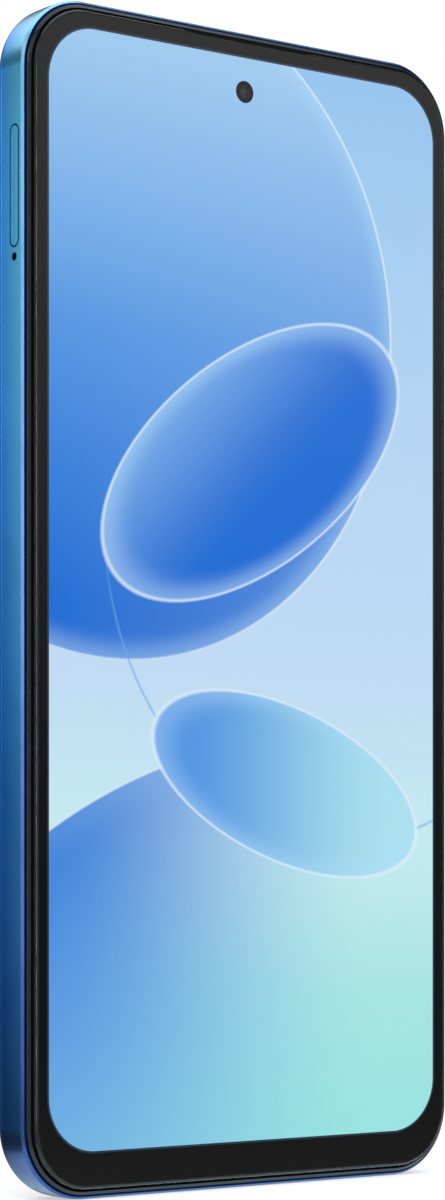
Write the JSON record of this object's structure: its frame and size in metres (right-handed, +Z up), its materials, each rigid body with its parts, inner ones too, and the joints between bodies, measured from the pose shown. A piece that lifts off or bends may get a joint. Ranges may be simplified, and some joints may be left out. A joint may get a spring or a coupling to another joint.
{
  "type": "smartphone",
  "caption": "Flat-sided touch-screen phone with a sliding SIM tray, side keys, rear cameras, a headphone socket and its inner boards, battery and speakers as separate parts.",
  "frame": {"origin": "bottom centre of the whole box, on the middle of the bottom edge", "axes": "+Z up along the height, the screen faces -Y, the SIM tray side is -X and the key side is +X"},
  "size_m": [0.076, 0.0096, 0.1636],
  "materials": {
    "cover_blue": "satin metallic paint, lighter at the top",
    "frame_black": "black anodised and overmoulded",
    "front_glass": "polished",
    "lcd": "lit picture",
    "diffuser_white": "smooth",
    "tape_black": "matte foam tape",
    "flex_amber": "satin film",
    "mesh_dark": "woven",
    "sheet_metal": "brushed",
    "diaphragm_film": "satin",
    "module_black": "matte",
    "lens_black": "polished",
    "board_green": "solder mask",
    "chip_black": "matte",
    "bracket_black": "fine texture",
    "screw_steel": "machined",
    "graphite": "satin",
    "battery_foil": "laminate foil",
    "adhesive_white": "matte",
    "cable_grey": "satin",
    "nickel": "satin nickel",
    "magnet": "nickel plated",
    "rotor_tungsten": "sintered",
    "island_blue": "gloss",
    "ring_metal": "spun and anodised",
    "window_glass": "coated",
    "phosphor": "flash phosphor",
    "flash_lens": "frosted lens",
    "rubber_black": "matte",
    "key_blue": "satin metallic paint",
    "sensor_black": "gloss"
  },
  "bodies": {
    "phone": {"rear_cover": "cover_blue", "mid_frame": "frame_black", "cover_glass": "front_glass", "display_panel": "lcd", "backlight": "diffuser_white", "display_tape": "tape_black", "display_flex": "flex_amber", "earpiece_mesh": "mesh_dark", "earpiece_case": "sheet_metal", "front_camera": "lens_black", "main_board": "board_green", "soc_shield": "sheet_metal", "rf_shield": "sheet_metal", "board_chips": "chip_black", "board_cover": "bracket_black", "board_screws": "screw_steel", "graphite_sheet": "graphite", "battery": "battery_foil", "battery_tape": "adhesive_white", "battery_flex": "flex_amber", "sub_board": "board_green", "board_flex": "flex_amber", "antenna_cable": "cable_grey", "lower_screws": "screw_steel", "usb_port": "nickel", "usb_tongue": "module_black", "headphone_jack": "module_black", "bottom_mic": "sheet_metal", "mic_boot": "rubber_black", "speaker_box": "bracket_black", "speaker_lid": "bracket_black", "speaker_magnet": "magnet", "speaker_mesh": "mesh_dark", "vibration_case": "sheet_metal", "camera_island": "island_blue", "camera_rings": "ring_metal", "camera_windows": "window_glass", "main_camera": "module_black", "second_camera": "lens_black", "flash_led": "phosphor", "flash_window": "flash_lens", "sim_socket": "sheet_metal", "lever_pin": "screw_steel", "side_flex": "flex_amber", "power_dome": "nickel", "volume_domes": "nickel"},
    "tray": {"sim_tray": "cover_blue"},
    "eject_rod": {"eject_rod": "sheet_metal"},
    "eject_lever": {"eject_lever": "sheet_metal"},
    "power_key": {"power_key": "key_blue", "fingerprint_sensor": "sensor_black"},
    "volume_key": {"volume_key": "key_blue"},
    "rotor": {"vibration_rotor": "rotor_tungsten"},
    "speaker_cone": {"speaker_diaphragm": "diaphragm_film"},
    "earpiece_cone": {"earpiece_diaphragm": "diaphragm_film"},
    "lens_barrel": {"autofocus_lens": "lens_black"}
  },
  "joints": [
    {"name": "sim_tray_slide", "type": "slide", "parent": "phone", "child": "tray", "axis": [-1, 0, 0], "range_m": [0, 0.036]},
    {"name": "eject_rod_slide", "type": "slide", "parent": "phone", "child": "eject_rod", "axis": [1, 0, 0], "range_m": [0, 0.0015]},
    {"name": "eject_lever_pivot", "type": "hinge", "parent": "phone", "child": "eject_lever", "pos_m": [0.0032, -0.0013, 0.132], "axis": [0, -1, 0], "range_deg": [0, 21.5]},
    {"name": "power_key_press", "type": "slide", "parent": "phone", "child": "power_key", "axis": [-1, 0, 0], "range_m": [0, 0.00025], "stiffness_N_per_m": 4000, "deforming": ["power_dome"]},
    {"name": "volume_key_rock", "type": "hinge", "parent": "phone", "child": "volume_key", "pos_m": [0.0363, -0.0005, 0.117], "axis": [0, 1, 0], "range_deg": [-1.2, 1.2], "stiffness_Nm_per_rad": 0.2, "deforming": ["volume_domes"]},
    {"name": "vibration_spin", "type": "hinge", "parent": "phone", "child": "rotor", "pos_m": [-0.0285, -0.0002, 0.0223], "axis": [0, 1, 0], "continuous": true},
    {"name": "speaker_cone_travel", "type": "slide", "parent": "phone", "child": "speaker_cone", "axis": [0, 1, 0], "range_m": [-0.0003, 0.0003], "stiffness_N_per_m": 600},
    {"name": "earpiece_cone_travel", "type": "slide", "parent": "phone", "child": "earpiece_cone", "axis": [0, 1, 0], "range_m": [-0.0001, 0.0001], "stiffness_N_per_m": 400},
    {"name": "autofocus_travel", "type": "slide", "parent": "phone", "child": "lens_barrel", "axis": [0, 1, 0], "range_m": [0, 0.0003], "stiffness_N_per_m": 300}
  ],
  "couplings": [
    {"joint": "eject_lever_pivot", "follows": "eject_rod_slide", "rad_per_m": 243.9}
  ]
}
